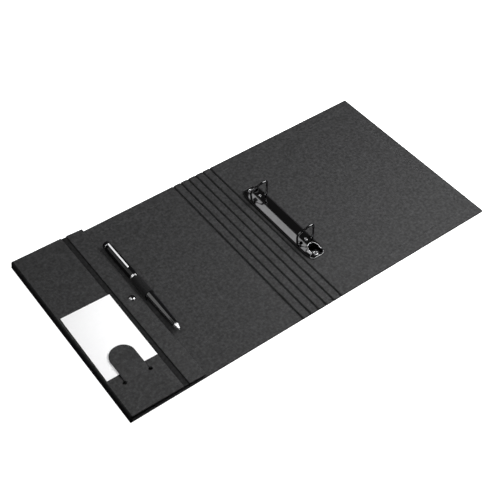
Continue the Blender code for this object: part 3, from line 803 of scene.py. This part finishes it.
def housing_cutters():
    """Cutters for the end openings, the rivets' and eyelets' holes and the slots for the ring halves."""
    cutters = []
    for side in (-1, 1):
        angles = [side * math.pi * (i / 48 - 1) for i in range(49)]
        outline = [(NOTCH_R * math.cos(a), side * NOTCH_Y + NOTCH_R * math.sin(a)) for a in angles]
        flare = [*NOTCH_FLARE, (0.0125, 0.070)]
        outline += [(x, side * y) for x, y in flare]
        outline += [(-x, side * y) for x, y in reversed(flare)]
        cutters.append(prism("notch", outline[::side], 0.0013, 0.012, BLACK_METAL))
        cutters.append(cylinder("rivet_hole", 0.0020, -0.003, 0.003, (0, side * RIVET_Y), BLACK_METAL))
        cutters.append(cylinder("eyelet_hole", 0.0011, 0.004, 0.010, (0, side * RING_Y), BLACK_METAL))
        for flank in (-1, 1):
            across = sorted((flank * 0.0048, flank * 0.0125))
            low = (across[0], side * RING_Y - 0.0017, 0.0031)
            high = (across[1], side * RING_Y + 0.0017, 0.0090)
            cutters.append(baked(block("slot", low, high, BLACK_METAL, 0.0009, 4)))
    return cutters


def rivet_seat(side):
    """Flat foot under one rivet, as wide as the housing's end."""
    ends = [0.0465 + (HOUSING_LENGTH / 2 - 0.0003 - 0.0465) * i / 12 for i in range(13)]
    right = [(housing_half_width(y) - 0.0006, side * y) for y in ends]
    left = [(-x, y) for x, y in reversed(right)]
    return prism("rivet_seat", (right + left)[::side], 0.0001, 0.00075, BLACK_METAL)


def add_housing(place):
    half_length = HOUSING_LENGTH / 2
    bend = [DROP_Y + (half_length - DROP_Y) * math.sin(math.pi / 2 * i / 20) for i in range(21)]
    flat = [DROP_Y * i / 8 for i in range(-7, 8)]
    sections = [housing_section(y) for y in [-y for y in reversed(bend)] + flat + bend]
    housing = new_object("spring_housing", lofted(sections), BLACK_METAL)
    carve(housing, [rivet_seat(side) for side in (-1, 1)], "UNION")
    carve(housing, housing_cutters())
    rounded(housing, 0.00018, 3, 40)
    join(settle(housing, place), "back_cover", "black_metal", "ring_housing")


def housing_skin(x, y):
    """Height of the arch's outer face."""
    return housing_rise(y) * math.sqrt(max(0.0, 1 - (x / housing_half_width(y)) ** 2))


def rim_path(side):
    """Closed line round one end opening: over the arch, down its flanks and round the foot's end."""
    end_y = HOUSING_LENGTH / 2 - 0.0002
    foot_z = 0.0011
    quarter = []
    for i in range(25):
        a = math.pi / 2 * (1 - i / 24)
        x, y = NOTCH_R * math.cos(a), NOTCH_Y - NOTCH_R * math.sin(a)
        quarter.append((x, y, housing_skin(x, y)))
    (x0, y0), (x1, y1) = NOTCH_FLARE
    straight = [NOTCH_Y + (y0 - NOTCH_Y) * i / 5 for i in range(1, 6)]
    quarter += [(x0, y, housing_skin(x0, y)) for y in straight]
    for i in range(1, 20):
        x, y = x0 + (x1 - x0) * i / 20, y0 + (y1 - y0) * i / 20
        if housing_skin(x, y) < foot_z + 0.0005:
            break
        quarter.append((x, y, housing_skin(x, y)))
    last_y = quarter[-1][1]
    for i in range(1, 13):
        y = last_y + (end_y - last_y) * math.sin(math.pi / 2 * i / 12)
        quarter.append((housing_half_width(y) - 0.0002, y, foot_z))
    quarter += [(HOUSING_END_HALF * (1 - i / 4), end_y, foot_z) for i in range(1, 5)]
    whole = quarter + [(-x, y, z) for x, y, z in reversed(quarter[1:-1])]
    return [Vector((x, side * y, z)) for x, y, z in whole]


def ring_of_wire(name, path, radius, material, sides=10):
    """Round wire along a closed path that runs mostly level."""
    sections = []
    for i, spot in enumerate(path):
        along = (path[(i + 1) % len(path)] - path[i - 1]).normalized()
        across = along.cross(Vector((0, 0, 1))).normalized()
        up = across.cross(along)
        turns = circle(sides)
        sections.append([spot + across * radius * math.cos(a) + up * radius * math.sin(a) for a in turns])
    return new_object(name, lofted(sections, joined=True), material)


def add_rims(place):
    for side, where in ENDS:
        # Both rims are the same part: the near one gets light plating as a painted highlight, the far one
        # dark plating as painted shade.
        finish = EYELET_PLATING_AND_RIM_HIGHLIGHT if where == "near" else FAR_RIM_PAINTED_SHADE
        rim = ring_of_wire(f"opening_rim_{where}", rim_path(side), RIM_R, finish)
        join(settle(rim, place), "back_cover", "black_metal")


def add_rings(place):
    top = RING_TOP - SEAT
    foot = 0.0045 - SEAT
    meet = 0.0031
    halves = {
        "left": [
            (-0.0064, foot, 0),
            (-0.0064, 0.0061 - SEAT, 0.0014),
            (-0.0113, 0.0089 - SEAT, 0.0026),
            (-0.0122, top - 0.0032, 0.0062),
            (meet - 0.0002, top, 0),
        ],
        "right": [
            (0.0064, foot, 0),
            (0.0064, 0.0060 - SEAT, 0.0013),
            (0.0093, 0.0083 - SEAT, 0.0018),
            (0.0093, top, 0.0030),
            (meet + 0.0001, top, 0),
        ],
    }
    for name, corners in halves.items():
        path = rounded_path(corners, 14)
        for side, where in ENDS:
            ring = tube(f"{name}_ring_wire_{where}", path, RING_WIRE_R, RING_METAL)
            at = place @ Matrix.Translation((0, side * RING_Y, 0))
            join(settle(ring, at), f"{name}_rings", "black_metal", f"{name}_ring_{where}")


def add_rivets(place):
    """The dished tube rivets through the back cover, and the open eyelets on the housing's crown."""
    top = SEAT + HOUSING_SHEET
    rivet_outline = [
        (0.0012, 0.0011), (0.0012, top + 0.0001), (0.0013, top + 0.0003), (0.0015, top + 0.0003),
        (0.0019, top + 0.0002), *arc((0.0023, top + 0.0003), (-0.0003, 0.0004), 14), (0.0026, top),
        (0.0017, top - 0.0002), (0.0017, 0.0005), (0.0038, 0.0005), (0.0040, 0.0003), (0.0038, 0.00005),
        (0.0022, 0.00005), (0.0012, 0.00035),
    ]
    crown = HOUSING_RISE
    eyelet_outline = [
        *arc((0.00135, crown + 0.0001), (-0.0004, 0.0004), 14),
        (0.00105, crown), (0.00105, crown - 0.0011), (0.00095, crown - 0.0011),
    ]
    for side, where in ENDS:
        rivet = turned(f"tube_rivet_{where}", rivet_outline, NICKEL)
        at = Matrix.Translation((RINGS_X, side * RIVET_Y, 0))
        join(settle(rivet, at), "back_cover", "black_metal", f"rivet_{where}")
        eyelet = turned(f"eyelet_{where}", eyelet_outline, EYELET_PLATING_AND_RIM_HIGHLIGHT, 48)
        at = place @ Matrix.Translation((0, side * RING_Y, 0))
        join(settle(eyelet, at), "back_cover", "black_metal", f"crown_eyelet_{where}")


def add_carriers(place):
    """Pressed plates under the housing, with a stiffening rib, that the ring halves are fixed in."""
    for side, name in ((-1, "left"), (1, "right")):
        low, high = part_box(f"{name}_carrier")
        length = (high.y - low.y) / 2
        xs = [0.0003 + 0.0085 * i / 16 for i in range(17)]
        top = [(x, 0.0004 - 0.00022 * math.exp(-((x - 0.0045) / 0.0007) ** 2)) for x in xs]
        under = [(x, z - 0.0007) for x, z in reversed(top)]
        mesh = strip_mesh([(-side * x, z) for x, z in top + under], length)
        plate = rounded(new_object(f"{name}_carrier_plate", mesh, STEEL), 0.00012, 2, 50)
        pivot = Matrix.Translation((side * 0.0090, 0, 0.0041 - SEAT))
        turn = pivot @ Matrix.Rotation(side * -CARRIER_REST, 4, "Y")
        join(settle(plate, place @ turn), f"{name}_rings", "bright_steel", f"{name}_carrier")


def add_mechanism():
    place = Matrix.Translation((RINGS_X, 0, SEAT))
    add_housing(place)
    add_rims(place)
    add_rings(place)
    add_carriers(place)
    add_rivets(place)


# --- press stud ------------------------------------------------------------------------------------------
def add_press_stud(tab):
    """Domed cap through the tab, its socket under it, and the post riveted through the front cover."""
    at = tab @ Matrix.Translation((-SNAP_REACH, SNAP_Y, 0))
    face = -0.0001
    dome = arc((0, face - 0.00045), (0.0036, -0.00165), 24, math.pi / 2)[::-1]
    turns = [math.pi * i / 6 for i in range(6, -1, -1)]
    rim = [(0.0037 + 0.0001 * math.sin(a), face - 0.00025 + 0.0002 * math.cos(a)) for a in turns]
    outline = [(0, face - 0.0021), *dome[1:], *rim, (0.0013, face), (0.0013, 0.00205), (0, 0.00205)]
    join(settle(turned("stud_cap", outline, STUD_BLACK), at), "tab", "black_metal", "snap_cap")

    under = FLAP_THICK + 0.0001
    corners = [
        (0.0020, under, 0), (0.0040, under, 0.0003), (0.0042, under + 0.0016, 0.0004),
        (0.0024, under + 0.0016, 0.0003), (0.0024, under + 0.0007, 0.0002),
        (0.0016, under + 0.0007, 0), (0.0016, under, 0),
    ]
    socket = turned("stud_socket", rounded_path(corners, 6), STUD_BLACK)
    join(settle(socket, at), "tab", "black_metal", "snap_socket")

    spot = at.translation
    ball_z = SEAT + 0.0010
    turns = [math.radians(90 - 7.5 * i) for i in range(1, 19)]
    outline = [
        (0, ball_z + 0.0007), *[(0.0016 * math.cos(a), ball_z + 0.0007 * math.sin(a)) for a in turns],
        (0.0010, SEAT + 0.0005), (0.0012, SEAT + 0.0004), (0.0034, SEAT + 0.0004), (0.0039, SEAT + 0.0002),
        (0.0040, SEAT), (0.0010, SEAT), (0.0010, 0.0005), (0.0038, 0.0005), (0.0040, 0.0003),
        (0.0038, 0.00005), (0.0016, 0.00005), (0.0009, 0.0003), (0, 0.0003),
    ]
    post = turned("stud_post", outline, STUD_BLACK)
    join(settle(post, Matrix.Translation((spot.x, spot.y, 0))), "front_cover", "black_metal", "snap_post")


# --- pen and loop ----------------------------------------------------------------------------------------
def barrel_outline(shape, bore):
    """A turned sleeve: its rounded outer profile from the far end down, and its bore."""
    points = rounded_path(shape, 6)
    return points + [(bore, points[-1][1]), (bore, points[0][1])]


def pen_pieces():
    """Each piece's name, material, slot, CAD node and closed outline in (radius, distance from the tip)."""
    yield "refill_point", STEEL, "bright_steel", "pen_refill", [
        (0, 0.100), (0.0011, 0.100), (0.0011, 0.0075), (0.0008, 0.0045), (0.0006, 0.0028),
        (0.0006, 0.0012), (0.00045, 0.0005), (0.0002, 0.0001), (0, 0),
    ]
    yield "tip_cone", SATIN, "chrome", "pen_tip", barrel_outline(
        [
            (0.0031, 0.0076, 0), (0.0032, 0.0075, 0.0001), (0.0032, 0.0067, 0.0001),
            (0.0030, 0.0065, 0.00005), (0.0029, 0.0058, 0.0008), (0.0015, 0.0026, 0.002),
            (0.0011, 0.0017, 0.0002), (0.0009, 0.0016, 0),
        ],
        0.0009,
    )
    yield "lower_barrel", BARREL, "gloss_black", "pen_lower_barrel", barrel_outline(
        [
            (0.0043, 0.0809, 0), (0.0046, 0.0807, 0.0002), (0.0047, 0.0795, 0.001),
            (0.0047, 0.0560, 0.06), (0.0044, 0.0380, 0.08), (0.0033, 0.0081, 0.0002), (0.0030, 0.0080, 0),
        ],
        0.0018,
    )
    yield "centre_band", CHROME, "chrome", "pen_centre_ring", barrel_outline(
        [
            (0.0046, 0.0840, 0), (0.0050, 0.0838, 0.0002), (0.0050, 0.0829, 0.0001),
            (0.0048, 0.0827, 0.00005), (0.0050, 0.0825, 0.0001), (0.0050, 0.0814, 0.0002),
            (0.0046, 0.0812, 0),
        ],
        0.0018,
    )
    yield "upper_barrel", LACQUER, "gloss_black", "pen_upper_barrel", barrel_outline(
        [
            (0.0043, 0.1335, 0), (0.0046, 0.1334, 0.0002), (0.0048, 0.1300, 0.008),
            (0.0048, 0.0880, 0.004), (0.0046, 0.0844, 0.0002), (0.0043, 0.0843, 0),
        ],
        0.0018,
    )
    crown = [
        (0.0010, 0.13970, 0), (0.0034, 0.1395, 0.0012), (0.0044, 0.1384, 0.0014),
        (0.0046, 0.1352, 0.0008), (0.0045, 0.1349, 0),
    ]
    outline = [(0, 0.1397), *rounded_path(crown, 8), (0, 0.1349)]
    yield "end_cap", LACQUER, "gloss_black", "pen_end_cap", outline


def add_clip(axis):
    """Sprung clip: a collar under the end cap, and a tapering arm along the barrel with a turned-in toe."""
    collar = [(0.0045, 0.1346, 0), (0.0048, 0.1345, 0.0001), (0.0048, 0.1339, 0.0001), (0.0045, 0.1338, 0)]
    clip = turned("pocket_clip", barrel_outline(collar, 0.0012), CHROME)
    line = [
        (0.1341, 0.0044), (0.1343, 0.0057), (0.1336, 0.0063), (0.1300, 0.0064), (0.1150, 0.0062),
        (0.0990, 0.0061), (0.0950, 0.0060), (0.0938, 0.0056), (0.0927, 0.0059),
    ]
    path = smooth_line(line, 8)
    cos_roll, sin_roll = math.cos(CLIP_ROLL), math.sin(CLIP_ROLL)
    sections = []
    for i, (z, up) in enumerate(path):
        share = i / (len(path) - 1)
        half = 0.0012 - 0.0003 * share
        before, after = Vector(path[max(0, i - 1)]), Vector(path[min(len(path) - 1, i + 1)])
        along = (after - before).normalized()
        out = Vector((along.y, -along.x))
        ring = []
        for k in range(32):
            a = 2 * math.pi * (k + 0.5) / 32
            wide = half * math.copysign(abs(math.cos(a)) ** 0.55, math.cos(a))
            high = 0.00034 * math.copysign(abs(math.sin(a)) ** 0.8, math.sin(a))
            height = up + wide * sin_roll + out.y * high * cos_roll
            ring.append((wide * cos_roll - high * sin_roll, -height, z + out.x * high))
        sections.append(ring)
    carve(clip, [new_object("arm", lofted(sections), CHROME)], "UNION")
    join(settle(clip, axis), "pen", "chrome", "pen_clip")


def smooth_line(points, steps):
    """Catmull-Rom curve through points."""
    line = []
    for i in range(len(points) - 1):
        p0, p1, p2, p3 = (Vector(points[min(max(j, 0), len(points) - 1)]) for j in range(i - 1, i + 3))
        bend, twist = 2 * p0 - 5 * p1 + 4 * p2 - p3, 3 * p1 - p0 - 3 * p2 + p3
        for k in range(steps):
            t = k / steps
            line.append(0.5 * (2 * p1 + (p2 - p0) * t + bend * t**2 + twist * t**3))
    line.append(Vector(points[-1]))
    return [tuple(point) for point in line]


def loop_outline(swell):
    """Outside of the elastic loop: a round that spreads to its fixed foot."""
    radius = LOOP_R - 0.0001 + swell
    foot = -LOOP_R
    angles = [math.radians(4 * i - 120) for i in range(61)]
    arch = [(radius * math.sin(a), radius * math.cos(a)) for a in angles]
    right = [(0.0048, -0.0040), (0.0047, -0.0048), (0.0044, foot + 0.00005), (0.0036, foot)]
    return arch + right + [(0.0, foot)] + [(-x, z) for x, z in reversed(right)]


def add_loop():
    """Ribbed elastic loop round the pen, fixed to the front cover."""
    ribs = 26
    per_rib = 6
    count = ribs * per_rib
    sections = []
    for i in range(count + 1):
        y = LOOP_MIDDLE_Y - LOOP_HALF + 2 * LOOP_HALF * i / count
        hem = 0.0002 if i in (0, count) else 0
        swell = 0.00009 * abs(math.sin(math.pi * i / per_rib)) - hem
        sections.append([(PEN_X + x, y, PEN_AXIS_Z + z) for x, z in loop_outline(swell)])
    loop = new_object("elastic_loop", lofted(sections), ELASTIC)
    half = LOOP_HALF + 0.002
    bore = cylinder("bore", LOOP_BORE_R, -half, half, (0, 0), ELASTIC, 72)
    middle = Matrix.Translation((PEN_X, LOOP_MIDDLE_Y, PEN_AXIS_Z))
    bore.data.transform(middle @ Matrix.Rotation(math.radians(-90), 4, "X"))
    carve(loop, [bore])
    join(settle(loop), "front_cover", "black_elastic", "pen_loop")


def add_pen():
    axis = Matrix.Translation((PEN_X, PEN_TIP_Y, PEN_AXIS_Z)) @ Matrix.Rotation(math.radians(-90), 4, "X")
    for name, material, slot, node, outline in pen_pieces():
        join(settle(turned(name, outline, material, 72), axis), "pen", slot, node)
    add_clip(axis)
    add_loop()


# --- studio --------------------------------------------------------------------------------------------
def add_floor():
    """A plain white floor that glows a little and doesn't throw its light back on to the object."""
    mesh = mesh_from(lambda made: bmesh.ops.create_grid(made, x_segments=1, y_segments=1, size=30.0))
    n = Nodes("studio_floor", Roughness=0.9, Specular_IOR_Level=0.0, Emission_Strength=0.8)
    n.shader.inputs["Emission Color"].default_value = (1, 1, 1, 1)
    floor = new_object("floor", mesh, n.use(Base_Color=(0.80, 0.80, 0.80, 1)))
    floor.location.z = -0.0002
    floor.visible_diffuse = False
    floor.visible_glossy = False


def add_softbox(name, direction, distance, size, power, long_side=(1, 0, 0)):
    """A rectangular lamp facing the object; its width runs along long_side."""
    light = bpy.data.lights.new(name, "AREA")
    light.shape = "RECTANGLE"
    light.size, light.size_y = size
    light.energy = power
    lamp = bpy.data.objects.new(name, light)
    bpy.context.scene.collection.objects.link(lamp)
    toward = Vector(direction).normalized()
    upright = toward.cross(Vector(long_side)).normalized()
    turn = Matrix((upright.cross(toward), upright, toward)).transposed().to_4x4()
    lamp.visible_camera = False
    lamp.matrix_world = Matrix.Translation(toward * distance) @ turn


def add_studio():
    world = bpy.data.worlds.new("studio")
    bpy.context.scene.world = world
    world.use_nodes = True
    sky = world.node_tree.nodes["Background"]
    sky.inputs["Color"].default_value = (1, 1, 1, 1)
    sky.inputs["Strength"].default_value = WORLD_LEVEL
    add_floor()
    add_softbox("back_left_strip", (-0.452, 0.534, 0.713), 1.5, (1.73, 0.55), 4.4, (-0.86, 0, -0.51))
    add_softbox("right_key", (0.34, -0.16, 0.48), 0.61, (0.4, 0.4), 5.3)
    add_softbox("left_top_fill", (-0.28, -0.05, 0.55), 0.62, (0.45, 0.45), 1.5)
    bpy.context.scene.view_settings.view_transform = "Standard"


def add_camera():
    flat, sink = math.cos(CAMERA_PITCH), math.sin(CAMERA_PITCH)
    forward = Vector((flat * math.sin(CAMERA_YAW), flat * math.cos(CAMERA_YAW), -sink))
    level = Vector((math.cos(CAMERA_YAW), -math.sin(CAMERA_YAW), 0))
    up = level.cross(forward)
    right = level * math.cos(CAMERA_ROLL) + up * math.sin(CAMERA_ROLL)
    top = up * math.cos(CAMERA_ROLL) - level * math.sin(CAMERA_ROLL)
    data = bpy.data.cameras.new("camera")
    data.lens = CAMERA_LENS
    data.sensor_width = 36.0
    data.clip_start = 0.01
    camera = bpy.data.objects.new("camera", data)
    bpy.context.scene.collection.objects.link(camera)
    turn = Matrix((right, top, -forward)).transposed().to_4x4()
    camera.matrix_world = Matrix.Translation(CAMERA_AT) @ turn
    bpy.context.scene.camera = camera


add_camera()
add_studio()
add_case()
add_flap()
add_mechanism()
add_press_stud(flap_places()[2])
add_pen()
